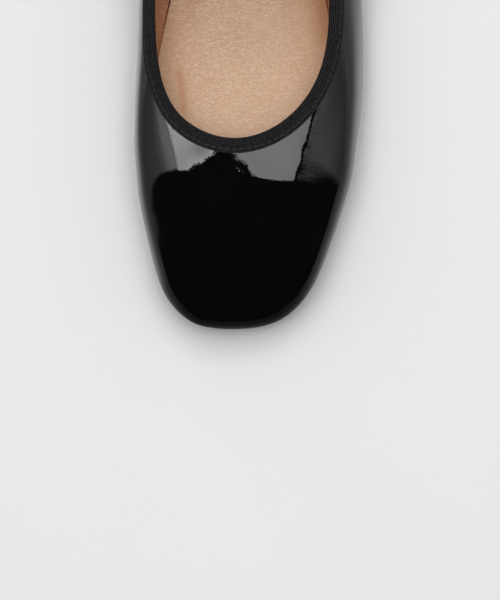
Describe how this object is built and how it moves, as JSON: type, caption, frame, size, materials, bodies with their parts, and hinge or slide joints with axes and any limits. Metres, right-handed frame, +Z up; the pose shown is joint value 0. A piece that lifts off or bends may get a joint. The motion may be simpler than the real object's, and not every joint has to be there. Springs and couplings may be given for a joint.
{
  "type": "mary jane flat",
  "caption": "Left mary jane flat: hollow black patent upper with a square toe, ribbed ribbon binding, tan insole, thin sole with low heel, and an instep strap with a button.",
  "frame": {"origin": "middle of the bounding box, on the floor", "axes": "+Z up, -Y towards the toe, +X towards the outer (lateral) side"},
  "size_m": [0.083, 0.2497, 0.0637],
  "materials": {
    "patent_leather": "black patent gloss",
    "ribbed_ribbon": "black ribbed weave",
    "tan_leather": "fine grain",
    "sole_rubber": "matt"
  },
  "bodies": {
    "root": {"upper": "patent_leather", "strap": "patent_leather", "button": "patent_leather", "binding": "ribbed_ribbon", "insole": "tan_leather", "outsole": "sole_rubber", "heel": "sole_rubber"}
  },
  "joints": []
}
